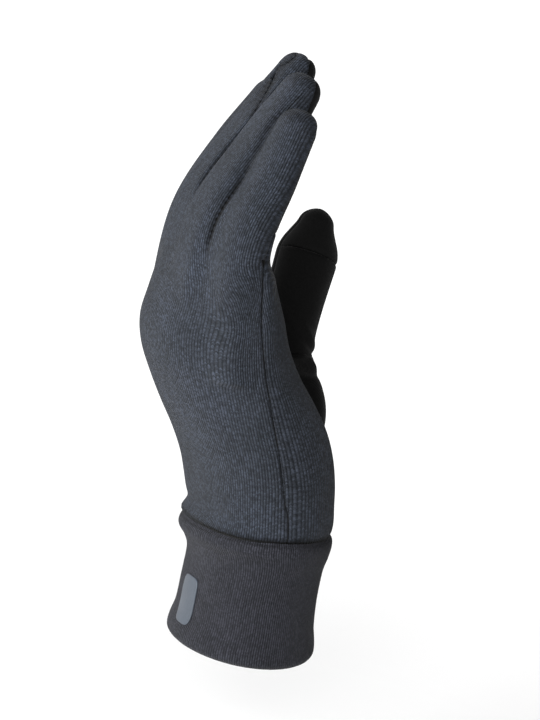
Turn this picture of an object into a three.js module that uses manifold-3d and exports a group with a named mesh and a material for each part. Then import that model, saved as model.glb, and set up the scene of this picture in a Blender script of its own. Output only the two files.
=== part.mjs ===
// A right-hand full-finger cycling glove in the shape of the hand that wears it: a knit back, a side strip, a palm,
// three fourchettes between the fingers, a sewn thumb with a touch tip, and a turned-up cuff with a printed bar.
// Millimetres. +Z runs up the forearm, +X is the palm's side and +Y the thumb's side. The origin is the middle of the
// cuff's mouth, where the hand goes in.
import * as THREE from "three";
import { mergeVertices } from "three/addons/utils/BufferGeometryUtils.js";
import Module from "manifold-3d";

const wasm = await Module();
wasm.setup();

const KNIT = 1.5; // thickness of the glove's knit wall
const SEAM_GAP = 0.3; // clearance between two sewn pieces
const FINEST = 0.05; // size of the finest detail that a cut may leave
const FOURCHETTE_HALF = 3.6; // half width of the strip between two fingers
const DIGIT_SIDES = { outer: 14, inner: 10 };
const DIGIT_STEPS = 7;
const HAND_SIDES = { outer: 24, inner: 18 };
const HAND_STEPS = 14;
const CUFF_SIDES = 32;

// Level sections of the hand from inside the cuff to the finger roots. Back and palm are where the two faces cross the
// middle, in X. Pad and ball are how far the palm swells beside the little finger and below the thumb. Drops are how
// far the back falls away towards its two edges.
const HAND = [
  { z: 4.5, back: -21.5, palm: 21.5, wide: 29.0, pad: 0, ball: 0, dropLittle: 0, dropThumb: 0 },
  { z: 30, back: -20.8, palm: 21.4, wide: 28.7, pad: 0, ball: 0, dropLittle: 0, dropThumb: 0 },
  { z: 43, back: -23.0, palm: 22.4, wide: 30.5, pad: 0, ball: 0, dropLittle: 0, dropThumb: 0 },
  { z: 51, back: -25.0, palm: 23.2, wide: 32.8, pad: 1, ball: 0, dropLittle: 0, dropThumb: 0 },
  { z: 61, back: -27.8, palm: 19.5, wide: 34.5, pad: 3, ball: 3, dropLittle: 1, dropThumb: 1 },
  { z: 70, back: -30.8, palm: 14, wide: 36.5, pad: 10, ball: 8, dropLittle: 2, dropThumb: 3 },
  { z: 80, back: -35.8, palm: 4, wide: 38.5, pad: 18, ball: 19, dropLittle: 4, dropThumb: 5 },
  { z: 90, back: -41.8, palm: -6, wide: 40.2, pad: 21, ball: 20, dropLittle: 6, dropThumb: 7 },
  { z: 100, back: -47.2, palm: -14, wide: 41.5, pad: 21.5, ball: 12, dropLittle: 9, dropThumb: 9 },
  { z: 110, back: -51.8, palm: -20, wide: 42, pad: 19, ball: 4, dropLittle: 12, dropThumb: 11 },
  { z: 120, back: -53.6, palm: -24, wide: 42, pad: 16.5, ball: 2, dropLittle: 14, dropThumb: 12 },
  { z: 130, back: -51.6, palm: -27, wide: 41.5, pad: 14.5, ball: 1, dropLittle: 13, dropThumb: 12 },
  { z: 140, back: -49, palm: -30, wide: 41, pad: 11.5, ball: 0, dropLittle: 12, dropThumb: 12 },
  { z: 146, back: -45.8, palm: -33, wide: 40, pad: 9, ball: 0, dropLittle: 10, dropThumb: 9 },
  { z: 151.6, back: -43, palm: -36.5, wide: 39, pad: 6.5, ball: 0, dropLittle: 8, dropThumb: 7 },
];

// Fold of cloth between the thumb and the first finger, as a stack of upright ellipses.
const THUMB_WEB = [
  { z: 46, x: 0, y: 12, deep: 16, wide: 10 },
  { z: 60, x: 3, y: 17, deep: 19, wide: 13 },
  { z: 74, x: 2, y: 23, deep: 22, wide: 14 },
  { z: 86, x: -3, y: 28, deep: 24, wide: 12 },
  { z: 97, x: -9, y: 31.5, deep: 22, wide: 8.5 },
  { z: 104, x: -15, y: 33.5, deep: 16, wide: 6 },
  { z: 108, x: -19, y: 34.5, deep: 8, wide: 3.5 },
];

// Each digit: its root, then for each bone the length, the lean towards the palm and the splay towards the
// thumb's side, and the half breadth at its joints. Flat is thickness over breadth.
const DIGITS = {
  index: {
    root: [-34.6, 30, 112],
    length: [46, 29, 21.6],
    lean: [7, 25.4, 31],
    splay: [0.5, -1, -2],
    breadth: [9.4, 9.8, 8.8, 7.8],
    flat: 0.92,
    across: [0, 1, 0],
    palmEdge: 0.25,
  },
  middle: {
    root: [-39.5, 10, 114],
    length: [50, 33, 24.7],
    lean: [6, 29.2, 30],
    splay: [0, 0, 0],
    breadth: [9.2, 9.7, 8.1, 7.4],
    flat: 0.92,
    across: [0, 1, 0],
    palmEdge: 0.25,
  },
  ring: {
    root: [-41, -10.5, 112],
    length: [47, 31, 23.6],
    lean: [2.6, 27.4, 29],
    splay: [-0.5, 0, 1],
    breadth: [9.2, 9.9, 9.3, 7.9],
    flat: 0.92,
    across: [0, 1, 0],
    palmEdge: 0.3,
  },
  little: {
    root: [-31, -30, 107],
    length: [48, 25, 17.7],
    lean: [-4, 18.5, 18.5],
    splay: [-0.5, 2, 4],
    breadth: [8.8, 9.0, 8.2, 7.7],
    flat: 0.94,
    across: [0, 1, 0],
    palmEdge: 0.75,
  },
  thumb: {
    root: [8, 10, 50],
    length: [37, 25, 44, 9.5],
    lean: [18, -8, 14.3, 13],
    splay: [15, 25, 17, 5],
    breadth: [8, 12.6, 11.2, 13.1, 5.4],
    flat: 0.86,
    across: [1, 0, 0],
  },
};
const FINGERS = ["index", "middle", "ring", "little"];
const THUMB_SEAM = 60; // along the thumb's line, where its stall is sewn on
const TOUCH_SEAM = 102; // along the thumb's line, where its touch tip begins

// Side strip up the little finger's edge of the hand: X of its seams with the back and the palm, and how far in from
// the edge it may reach.
const SIDE_STRIP = [
  { z: 3, back: -2, palm: 40, inner: -12 },
  { z: 50, back: -3, palm: 40, inner: -12 },
  { z: 66, back: -8, palm: 30, inner: -14 },
  { z: 81, back: -13.5, palm: 28, inner: -18 },
  { z: 98, back: -20.5, palm: 10, inner: -22 },
  { z: 114, back: -26, palm: -5, inner: -26 },
  { z: 130, back: -29.5, palm: -12, inner: -29 },
  { z: 147, back: -30.5, palm: -19, inner: -30 },
  { z: 160, back: -27.5, palm: -24.5, inner: -31 },
];

// Where palm and back meet: X at the little finger's edge of the hand, behind the middle finger and at the thumb's edge.
const MID_LINE = [
  { z: 3, little: 6, middle: 4, thumb: 2 },
  { z: 50, little: 6, middle: 3, thumb: 0 },
  { z: 80, little: -4, middle: -10, thumb: -12 },
  { z: 98, little: -12, middle: -26, thumb: -21 },
  { z: 114, little: -19, middle: -34, thumb: -26 },
  { z: 130, little: -23, middle: -38, thumb: -27 },
  { z: 142, little: -27, middle: -38, thumb: -25 },
  { z: 151, little: -31, middle: -40, thumb: -23 },
];
const MID_PLACES = { little: -42, middle: 6, thumb: 42 }; // Y of those three places

// Turned-up cuff, as ellipses from the hem to its upper fold.
const CUFF = [
  { z: 0, x: 0, thick: 25.6, wide: 31.8, tilt: 0 },
  { z: 0.8, x: -0.3, thick: 27.0, wide: 32.8, tilt: 0 },
  { z: 2.4, x: -0.5, thick: 27.7, wide: 33.4, tilt: 0 },
  { z: 6, x: -0.3, thick: 27.1, wide: 33.0, tilt: 0 },
  { z: 12, x: 0, thick: 25.2, wide: 31.9, tilt: 0.01 },
  { z: 22, x: 0.2, thick: 24.6, wide: 31.5, tilt: 0.02 },
  { z: 33, x: 0.9, thick: 24.5, wide: 31.7, tilt: 0.03 },
  { z: 38.5, x: 0.7, thick: 26.0, wide: 33.1, tilt: 0.045 },
  { z: 42.5, x: -0.4, thick: 27.7, wide: 34.5, tilt: 0.045 },
  { z: 45.2, x: -0.4, thick: 27.5, wide: 34.3, tilt: 0.045 },
  { z: 46, x: -0.3, thick: 26.3, wide: 33.1, tilt: 0.045 },
];
const HEM_DEPTH = 4.2; // height of the hem's roll, which the wrist ends above
const WRIST_CLEARANCE = 0.3; // between the wrist and the cuff around it
const PRINT = { wide: 11, low: 8, high: 26, thick: 0.6, angle: -177 }; // plain reflective bar on the cuff

const radians = THREE.MathUtils.degToRad;

/** A closed body through rings of the same number of points, with a fan at each end. */
function loft(rings) {
  const count = rings[0].length;
  const points = rings.flat();
  const index = [];
  for (let r = 0; r < rings.length - 1; r++)
    for (let k = 0; k < count; k++) {
      const a = r * count + k;
      const b = r * count + ((k + 1) % count);
      index.push(a, b, a + count, b, b + count, a + count);
    }
  const middle = (ring) => ring.reduce((sum, p) => sum.add(p), new THREE.Vector3()).divideScalar(count);
  const first = points.push(middle(rings[0])) - 1;
  const last = points.push(middle(rings.at(-1))) - 1;
  const top = (rings.length - 1) * count;
  for (let k = 0; k < count; k++) {
    const next = (k + 1) % count;
    index.push(first, next, k, last, top + k, top + next);
  }
  return solid(new THREE.BufferGeometry().setFromPoints(points).setIndex(index));
}

/** A geometry as a solid, turned so that its faces point out. */
function solid(geometry) {
  const merged = mergeVertices(geometry, 1e-3);
  const made = (triangles) =>
    new wasm.Manifold(
      new wasm.Mesh({
        numProp: 3,
        vertProperties: new Float32Array(merged.attributes.position.array),
        triVerts: new Uint32Array(triangles),
      }),
    );
  const triangles = Array.from(merged.index.array);
  const first = made(triangles);
  return first.volume() > 0 ? first : made(triangles.reverse());
}

const join = (solids) => solids.reduce((sum, one) => sum.add(one));

/** The values of a table's columns at a height or share, on a smooth curve through its rows. */
function sample(rows, share) {
  const at = share * (rows.length - 1);
  const i = Math.min(rows.length - 2, Math.floor(at));
  const t = at - i;
  const row = (k) => rows[THREE.MathUtils.clamp(k, 0, rows.length - 1)];
  const out = {};
  for (const key of Object.keys(rows[0])) {
    const [p0, p1, p2, p3] = [row(i - 1)[key], row(i)[key], row(i + 1)[key], row(i + 2)[key]];
    const bend = 2 * p0 - 5 * p1 + 4 * p2 - p3 + t * (3 * p1 - p0 - 3 * p2 + p3);
    out[key] = p1 + 0.5 * t * (p2 - p0 + t * bend);
  }
  return out;
}

const steps = (count) => Array.from({ length: count + 1 }, (_, i) => i / count);
const around = (sides, offset) => steps(offset < 0 ? sides.inner : sides.outer).slice(0, -1);
const signedPower = (value, power) => Math.sign(value) * Math.abs(value) ** power;

/** A smooth bump of height 1 around a middle. */
const bump = (value, middle, half) => Math.exp(-(((value - middle) / half) ** 2));

/** The hand without its digits, grown by an offset and lengthened at the wrist. */
function handBody(offset, extra) {
  const rings = steps(HAND_STEPS).map((share) => {
    const here = sample(HAND, share);
    return around(HAND_SIDES, offset).map((turn) => {
      const angle = turn * 2 * Math.PI;
      const side = Math.sin(angle);
      const drop = (side < 0 ? here.dropLittle : here.dropThumb) * side * side;
      const back = here.back + drop - offset;
      const palm = here.palm + here.pad * bump(side, -0.75, 0.45) + here.ball * bump(side, 0.7, 0.45) + offset;
      const depth = signedPower(Math.cos(angle), 0.85);
      const x = (back + palm) / 2 + ((palm - back) / 2) * depth;
      return new THREE.Vector3(x, (here.wide + offset) * signedPower(side, 0.92), here.z);
    });
  });
  const move = (ring, distance) => ring.map((p) => p.clone().setZ(p.z + distance));
  if (extra) rings.unshift(move(rings[0], -extra));
  if (offset) rings[rings.length - 1] = move(rings.at(-1), offset);
  return loft(rings);
}

/** The fold between thumb and first finger, grown by an offset. */
function thumbWeb(offset) {
  return loft(
    steps(8).map((share) => {
      const here = sample(THUMB_WEB, share);
      return steps(20).slice(0, -1).map((turn) => {
        const angle = turn * 2 * Math.PI;
        const x = here.x + (here.deep + offset) * Math.cos(angle);
        return new THREE.Vector3(x, here.y + (here.wide + offset) * Math.sin(angle), here.z + offset * share);
      });
    }),
  );
}

/** The smooth centre line of a digit through its joints. */
function centreLine(digit) {
  const at = new THREE.Vector3(...digit.root);
  const joints = [at.clone()];
  digit.length.forEach((length, i) => {
    const lean = Math.tan(radians(digit.lean[i]));
    const splay = Math.tan(radians(digit.splay[i]));
    at.add(new THREE.Vector3(lean, splay, 1).setLength(length));
    joints.push(at.clone());
  });
  return new THREE.CatmullRomCurve3(joints, false, "centripetal");
}

for (const digit of Object.values(DIGITS)) {
  digit.line = centreLine(digit);
  digit.span = digit.line.getLength();
}

/** Place, axes and half breadth of a digit at a distance along its line, which runs on straight past its ends. */
function frameAt(digit, distance) {
  const share = THREE.MathUtils.clamp(distance / digit.span, 0, 1);
  const along = digit.line.getTangentAt(share);
  const at = digit.line.getPointAt(share).addScaledVector(along, distance - share * digit.span);
  const across = new THREE.Vector3(...digit.across);
  across.addScaledVector(along, -across.dot(along)).normalize();
  const pad = across.clone().cross(along);
  const ends = digit.length.map((_, i) => digit.length.slice(0, i).reduce((sum, x) => sum + x, 0));
  const reach = digit.length.reduce((sum, x) => sum + x, 0);
  const stops = [...ends, reach].map((x) => (x / reach) * digit.span);
  const bone = Math.max(0, Math.min(digit.length.length - 1, stops.findLastIndex((stop) => stop <= share * digit.span)));
  const part = (share * digit.span - stops[bone]) / (stops[bone + 1] - stops[bone]);
  const half = THREE.MathUtils.lerp(digit.breadth[bone], digit.breadth[bone + 1], part);
  return { at, along, across, pad, half };
}

/** A digit as a round-ended tube, grown by an offset, starting some way before its root. */
function digitBody(digit, offset, before = 0) {
  const ring = (distance, shrink) => {
    const frame = frameAt(digit, distance);
    return around(DIGIT_SIDES, offset).map((turn) => {
      const angle = turn * 2 * Math.PI;
      const wide = (frame.half + offset) * shrink;
      const deep = (frame.half * digit.flat + offset) * shrink;
      return frame.at
        .clone()
        .addScaledVector(frame.across, wide * Math.cos(angle))
        .addScaledVector(frame.pad, deep * Math.sin(angle));
    });
  };
  const shaft = steps(DIGIT_STEPS).map((share) => ring(share * (digit.span + before) - before, 1));
  const tip = frameAt(digit, digit.span).half * digit.flat + offset;
  const cap = [35, 67].map((turn) => {
    const angle = radians(turn);
    return ring(digit.span + tip * Math.sin(angle), Math.cos(angle));
  });
  return loft([...shaft, ...cap]);
}

/** A long block that follows a digit from one distance to another. Limits gives its four sides at a distance. */
function digitBlock(digit, from, to, limits) {
  return loft(
    steps(7).map((share) => {
      const distance = THREE.MathUtils.lerp(from, to, share);
      const frame = frameAt(digit, distance);
      const [low, high, back, front] = limits(distance, frame);
      return [[low, back], [high, back], [high, front], [low, front]].map(([across, pad]) =>
        frame.at.clone().addScaledVector(frame.across, across).addScaledVector(frame.pad, pad),
      );
    }),
  );
}

/** A block through a table's rows, whose four corners in X and Y are functions of the row. */
const prism = (rows, corners) =>
  loft(rows.map((row) => corners(row).map(([x, y]) => new THREE.Vector3(x, y, row.z))));

// The whole skin before it is cut into its pieces: what the hand fills, grown by the knit, less what it fills.
const digits = Object.values(DIGITS);
const outside = join([handBody(0, 0), thumbWeb(0), ...digits.map((digit) => digitBody(digit, 0))]);
const hollow = join([handBody(-KNIT, 5), thumbWeb(-KNIT), ...digits.map((digit) => digitBody(digit, -KNIT))]);
const skin = outside.subtract(hollow);

const BEYOND = 16; // how far a cutter runs past a fingertip

/** Half width of a strip up a finger's side, closing to nothing before the fingertip. */
const taper = (digit, distance, half) =>
  half * THREE.MathUtils.clamp((digit.span + 9 - distance) / 16, 0.02, 1);

/** The strip up one side of a finger, where side is 1 towards the thumb and -1 away from it. */
function fingerStrip(name, side, half, grow, from) {
  const digit = DIGITS[name];
  return digitBlock(digit, from, digit.span + 8, (distance, frame) => {
    const reach = frame.half * 1.06 * side;
    const width = taper(digit, distance, half) + grow;
    return side > 0 ? [0, reach, -width, width] : [reach, 0, -width, width];
  });
}

/** The strip between two neighbouring fingers: up one, round the crotch and up the other. */
function fourchette(near, far, grow) {
  const strips = [fingerStrip(near, -1, FOURCHETTE_HALF, grow, 32), fingerStrip(far, 1, FOURCHETTE_HALF, grow, 32)];
  const [a, b] = [frameAt(DIGITS[near], 36), frameAt(DIGITS[far], 36)];
  const centre = a.at.clone().lerp(b.at, 0.5);
  const half = FOURCHETTE_HALF + grow;
  const crotch = new THREE.BoxGeometry(2 * half, a.at.y - b.at.y, 16).toNonIndexed();
  crotch.deleteAttribute("normal");
  crotch.deleteAttribute("uv");
  crotch.translate(centre.x, centre.y, 147);
  return join([...strips, solid(crotch)]);
}

/** The side strip's cutter, up the edge of the hand to a point at the little finger's root. */
function sideCutter(grow) {
  const top = SIDE_STRIP.at(-1);
  return prism([...SIDE_STRIP.slice(0, -1), { ...top, z: top.z + grow }], (row) => [
    [row.back - grow, -80],
    [row.palm + grow, -80],
    [row.palm + grow, row.inner + grow],
    [row.back - grow, row.inner + grow],
  ]);
}

/** The palm's cutter: everything in front of the middle line, then the front half of each finger. */
function palmCutter(grow) {
  const front = prism(MID_LINE, (row) => [
    [row.little - grow, -80],
    [90, -80],
    [90, 80],
    [row.thumb - grow, 80],
    [row.thumb - grow, MID_PLACES.thumb],
    [row.middle - grow, MID_PLACES.middle],
    [row.little - grow, MID_PLACES.little],
  ]);
  const fingers = FINGERS.map((name) => {
    const digit = DIGITS[name];
    return digitBlock(digit, 27, digit.span + BEYOND, (distance, frame) => [
      -1.02 * frame.half,
      1.02 * frame.half,
      taper(digit, distance, digit.palmEdge * frame.half) - grow,
      frame.half * 1.5,
    ]);
  });
  return join([front, ...fingers]);
}

const pairs = [["index", "middle"], ["middle", "ring"], ["ring", "little"]];
const thumb = DIGITS.thumb;
const stallBlock = (grow) => digitBlock(thumb, THUMB_SEAM - grow, thumb.span + BEYOND, () => [-13, 17, -17, 17]);
const frontBlock = (grow) => digitBlock(thumb, THUMB_SEAM - 2, thumb.span + BEYOND, () => [-17, 17, -grow, 17]);
const touchBlock = (grow) => digitBlock(thumb, TOUCH_SEAM - grow, thumb.span + BEYOND, () => [-17, 17, -1, 17]);

const sides = sideCutter(0);
const sidesWide = sideCutter(SEAM_GAP);
const strips = pairs.map(([near, far]) => fourchette(near, far, 0));
const stripsWide = join(pairs.map(([near, far]) => fourchette(near, far, SEAM_GAP)));
const hand = skin.subtract(stallBlock(SEAM_GAP));
const stall = skin.intersect(stallBlock(0));

/** The largest of a solid's separate bodies, without the slivers and hair-thin triangles that a cut leaves. */
const largest = (pieces) =>
  pieces
    .decompose()
    .reduce((best, one) => (one.volume() > best.volume() ? one : best))
    .asOriginal()
    .simplify(FINEST);

const PIECES = {
  back_panel: hand.subtract(sidesWide).subtract(stripsWide).subtract(palmCutter(SEAM_GAP)),
  palm_panel: hand.intersect(palmCutter(0)).subtract(sidesWide).subtract(stripsWide),
  side_panel: hand.intersect(sides),
  fourchette_index_middle: hand.intersect(strips[0]),
  fourchette_middle_ring: hand.intersect(strips[1]),
  fourchette_ring_little: hand.intersect(strips[2]).subtract(sidesWide),
  thumb_back: stall.subtract(frontBlock(SEAM_GAP)),
  thumb_front: stall.intersect(frontBlock(0)).subtract(touchBlock(SEAM_GAP)),
  thumb_touch_tip: stall.intersect(frontBlock(0)).intersect(touchBlock(0)),
};

/** An ellipse around the cuff's axis, which rises by a tilt towards the little finger's side. */
const ellipse = (z, x, thick, wide, tilt) =>
  steps(CUFF_SIDES).slice(0, -1).map((turn) => {
    const angle = turn * 2 * Math.PI;
    const y = wide * Math.sin(angle);
    return new THREE.Vector3(x + thick * Math.cos(angle), y, z - tilt * y);
  });

/** The cuff's outer form at a height, straight between its rows. */
function cuffAt(z) {
  const i = CUFF.findLastIndex((row) => row.z <= z);
  const t = (z - CUFF[i].z) / (CUFF[i + 1].z - CUFF[i].z);
  return Object.fromEntries(
    Object.keys(CUFF[i]).map((key) => [key, THREE.MathUtils.lerp(CUFF[i][key], CUFF[i + 1][key], t)]),
  );
}

/** The cuff: its outer form, less the wrist's room, with a roll at the hem that covers the wrist's end. */
function cuff() {
  const outer = loft(CUFF.map((row) => ellipse(row.z, row.x, row.thick, row.wide, row.tilt)));
  const wrist = handBody(WRIST_CLEARANCE, 0);
  const mouth = loft([-1, HEM_DEPTH + 1].map((z) => ellipse(z, 0, 20.2, 27.7, 0)));
  return outer.subtract(wrist).subtract(mouth);
}

/** The printed bar: a thin curved plate that follows the cuff's face. */
function print() {
  const turn = radians(PRINT.angle);
  const ring = (row, low, high) => {
    const half = PRINT.wide / 2 / row.wide;
    const spot = (angle, gap) => {
      const y = (row.wide + gap) * Math.sin(angle);
      return new THREE.Vector3(row.x + (row.thick + gap) * Math.cos(angle), y, row.z - row.tilt * y);
    };
    const angles = [-1, -0.5, 0, 0.5, 1].map((side) => turn + side * half);
    const inner = angles.map((angle) => spot(angle, low));
    return [...inner, ...angles.reverse().map((angle) => spot(angle, high))];
  };
  const rows = steps(5).map((share) => cuffAt(THREE.MathUtils.lerp(PRINT.low, PRINT.high, share)));
  return loft(rows.map((row) => ring(row, SEAM_GAP + 0.1, SEAM_GAP + 0.1 + PRINT.thick)));
}

/** A named mesh of a solid in its own material. */
function mesh(name, made, material) {
  const { numProp, numVert, vertProperties, triVerts } = made.getMesh();
  const position = new Float32Array(numVert * 3);
  for (let i = 0; i < numVert; i++) position.set(vertProperties.subarray(i * numProp, i * numProp + 3), i * 3);
  const geometry = new THREE.BufferGeometry()
    .setAttribute("position", new THREE.BufferAttribute(position, 3))
    .setIndex(new THREE.BufferAttribute(triVerts, 1));
  const part = new THREE.Mesh(geometry, material);
  part.name = name;
  return part;
}

const cloth = (color, roughness) => new THREE.MeshStandardMaterial({ color, roughness, metalness: 0 });
const greyKnit = cloth(0x484b52, 0.9);
const blackKnit = cloth(0x131313, 0.75);
const cuffKnit = cloth(0x3d3e43, 0.92);
const print_ink = cloth(0x808a99, 0.45);
const MATERIALS = {
  palm_panel: blackKnit,
  thumb_back: blackKnit,
  thumb_front: blackKnit,
  thumb_touch_tip: blackKnit,
};

const glove = new THREE.Group();
for (const [name, pieces] of Object.entries(PIECES))
  glove.add(mesh(name, largest(pieces), MATERIALS[name] ?? greyKnit));
glove.add(mesh("cuff", largest(cuff()), cuffKnit));
glove.add(mesh("cuff_print", print(), print_ink));

export default glove;
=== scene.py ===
import logging
import math
from dataclasses import dataclass, field
from enum import Enum

import bpy
import numpy as np
from mathutils import Matrix


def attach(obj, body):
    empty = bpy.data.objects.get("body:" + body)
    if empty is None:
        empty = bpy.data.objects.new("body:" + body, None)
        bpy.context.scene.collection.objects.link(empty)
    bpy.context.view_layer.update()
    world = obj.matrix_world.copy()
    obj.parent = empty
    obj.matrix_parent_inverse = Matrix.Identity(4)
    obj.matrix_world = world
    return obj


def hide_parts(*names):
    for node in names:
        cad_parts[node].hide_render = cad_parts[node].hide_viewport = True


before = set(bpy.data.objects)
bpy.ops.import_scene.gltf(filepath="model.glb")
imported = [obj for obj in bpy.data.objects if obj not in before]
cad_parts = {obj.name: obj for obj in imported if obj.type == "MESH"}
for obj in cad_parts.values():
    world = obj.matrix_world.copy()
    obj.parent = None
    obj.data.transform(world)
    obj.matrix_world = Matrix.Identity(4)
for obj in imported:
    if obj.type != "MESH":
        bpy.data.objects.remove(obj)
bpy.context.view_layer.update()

log = logging.getLogger("glove")
Array = np.ndarray
MM = 0.001  # metres in a millimetre
ROOT = "root"  # the one body that every piece rides on
WHITE = "ffffff"
MATH = "ShaderNodeMath"
CUFF_TILT = 0.045  # how much lower the cuff's top stands for each millimetre towards the thumb
OUTSIDE = -9.0  # value of a panel's field where the panel can't be
HAND_ROUND = 0.85  # power of |cos| that rounds a level section of the hand
HAND_SIDE = 0.92  # power of |sin| that rounds it at its sides
SWELL_HALF = 0.45  # half width of the palm's two swellings, as a share of the hand's half width
PAD_SIDE = -0.75  # where the little finger's swelling is highest
BALL_SIDE = 0.7  # where the thumb's is


class Slot(Enum):
    """The record's material slots."""

    GREY = "grey_knit"
    BLACK = "black_jersey"
    TOUCH = "touch_jersey"
    CUFF = "cuff_knit"
    PRINT = "reflective_print"


# Small maths

def smooth(value: Array, low: float, high: float) -> Array:
    """Returns the smooth step t²(3 − 2t) of values from low to high."""
    t = np.clip((value - low) / (high - low), 0.0, 1.0)
    return t * t * (3.0 - 2.0 * t)


def bump(value: Array, middle: float | Array, half: float) -> Array:
    """Returns a smooth bump of height 1, exp(−((value − middle)/half)²)."""
    return np.exp(-(((value - middle) / half) ** 2))


def signed_power(value: Array, power: float) -> Array:
    """Returns sign(value)·|value|^power."""
    return np.sign(value) * np.abs(value) ** power


def unit(vectors: Array) -> Array:
    """Returns vectors of length 1."""
    return vectors / np.maximum(np.linalg.norm(vectors, axis=-1, keepdims=True), 1e-12)


class Table:
    """Named columns of values, one row for each station of a limb, read on a smooth curve through them."""

    def __init__(self, names: str, rows: list[tuple[float, ...]]) -> None:
        """Keeps the rows.

        Args:
            names: the columns' names, the first of them the height.
            rows: the values, from the lowest station to the highest.
        """
        self.names = names.split()
        self.rows = np.array(rows, float)

    def curve(self, count: int) -> dict[str, Array]:
        """Reads the columns at even shares of the rows, on a Catmull-Rom curve whose end rows count twice.

        Args:
            count: how many places are read.

        Returns:
            Each column's values by its name.
        """
        at = np.linspace(0, len(self.rows) - 1, count)
        i = np.minimum(at.astype(int), len(self.rows) - 2)
        t = (at - i)[:, None]
        p0, p1, p2, p3 = (self.rows[np.clip(i + k, 0, len(self.rows) - 1)] for k in (-1, 0, 1, 2))
        bend = 2 * p0 - 5 * p1 + 4 * p2 - p3 + t * (3 * p1 - p0 - 3 * p2 + p3)
        values = p1 + 0.5 * t * (p2 - p0 + t * bend)
        return dict(zip(self.names, values.T))

    def level(self, height: Array) -> dict[str, Array]:
        """Reads every column at given heights, held still beyond the table's ends."""
        fine = self.curve(40 * len(self.rows))
        return {name: np.interp(height, fine[self.names[0]], fine[name]) for name in self.names}


# Sizes that the CAD source holds too, some of them tuned further here

HAND = Table(
    "z back palm wide pad ball drop_little drop_thumb",
    [
        (4.5, -21.5, 21.5, 29.0, 0, 0, 0, 0),
        (30, -20.8, 21.4, 28.7, 0, 0, 0, 0),
        (43, -23.0, 22.4, 30.5, 0, 0, 0, 0),
        (51, -25.0, 23.4, 32.8, 2.2, 0, 0, 0),
        (61, -27.8, 19.5, 34.5, 5.0, 3, 1, 1),
        (70, -30.8, 14, 36.5, 8.8, 8, 2, 3),
        (80, -35.8, 4, 38.5, 15.8, 19, 4, 5),
        (90, -41.8, -6, 40.2, 21, 20, 6, 7),
        (100, -47.2, -14, 41.5, 21.5, 12, 9, 9),
        (110, -51.8, -20, 42, 19, 4, 12, 11),
        (120, -53.6, -24, 42, 16.5, 2, 14, 12),
        (130, -51.6, -27, 41.5, 15.2, 1, 13, 12),
        (140, -49, -30, 41, 13.0, 0, 12, 12),
        (146, -45.8, -33, 40, 13.0, 0, 10, 9),
        (151.6, -43, -36.5, 39, 10.0, 0, 8, 7),
    ],
)
THUMB_WEB = Table(
    "z x y deep wide",
    [
        (46, 0, 12, 16, 10),
        (60, 3, 17, 19, 13),
        (74, 2, 23, 22, 14),
        (86, -3, 28, 24, 12),
        (97, -9, 31.5, 22, 8.5),
        (104, -15, 33.5, 16, 6),
        (108, -19, 34.5, 8, 3.5),
    ],
)
SIDE_STRIP = Table(
    "z back palm inner",
    [
        (3, -2, 40, -12),
        (50, -3, 40, -12),
        (66, -8, 30, -14),
        (81, -13.5, 28, -18),
        (98, -20.5, 10, -22),
        (114, -26, -5, -26),
        (130, -29.5, -12, -29),
        (147, -30.5, -19, -30),
        (160, -27.5, -24.5, -31),
    ],
)
MID_LINE = Table(
    "z little middle thumb",
    [
        (3, 6, 4, 2),
        (50, 6, 3, 0),
        (80, -4, -10, -12),
        (98, -12, -26, -21),
        (114, -19, -34, -26),
        (130, -23, -38, -27),
        (142, -27, -38, -25),
        (151, -31, -40, -23),
    ],
)
CUFF = Table(
    "z x thick wide tilt",
    [
        (0, 0, 24.8, 31.0, 0),
        (0.8, -0.2, 26.2, 32.2, 0),
        (2.4, -0.4, 27.1, 33.0, 0),
        (6, -0.3, 26.7, 32.6, 0),
        (12, 0, 25.2, 31.9, 0.01),
        (22, 0.2, 24.6, 31.5, 0.02),
        (33, 0.9, 24.5, 31.7, 0.03),
        (38.5, 0.7, 26.0, 33.1, 0.045),
        (42.5, -0.4, 27.7, 34.5, 0.045),
        (45.2, -0.4, 27.5, 34.3, 0.045),
        (46, -0.3, 26.3, 33.1, 0.045),
    ],
)
STRIP_TOP = 160.0  # height where the side strip ends in a point
PALM_TOP = 151.0  # height where the palm gives way to the finger fronts
MID_PLACES = (-42.0, 6.0, 42.0)  # Y of the middle line's three places
FOURCHETTE_HALF = 3.6  # half width of the strip between two fingers
FOURCHETTE_FROM = 32.0  # distance along a finger where its strips begin
STRIP_SHIFT = -2.4  # how far the middle finger's strip turns to the back of its tip
CROTCH = (139.0, 155.0)  # heights between which a strip goes round the crotch of two fingers
THUMB_SEAM = 60.0  # distance along the thumb where its stall is sewn on
TOUCH_SEAM = 102.0  # distance along the thumb where its touch tip begins
SKIN_FOOT = 5.0  # height where the skin ends, inside the cuff
KNIT = 1.3  # thickness of the knit


@dataclass(frozen=True)
class DigitSize:
    """Sizes of one digit: its root, then each bone's length, lean to the palm and splay to the thumb's side.

    Its breadth is the half breadth at each joint, and flat is its thickness over its breadth.
    """

    name: str
    root: tuple[float, float, float]
    lengths: tuple[float, ...]
    lean: tuple[float, ...]
    splay: tuple[float, ...]
    breadth: tuple[float, ...]
    flat: float = 0.96
    across: tuple[float, float, float] = (0.0, 1.0, 0.0)
    palm_edge: float = 0.0
    pressed: tuple[float, float] = (2.0, 2.0)  # section's power on the thumb's side and away, 2 being round
    blunt: float = 0.72  # power of the cosine that the tip narrows by, a round tip's being 1


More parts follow.
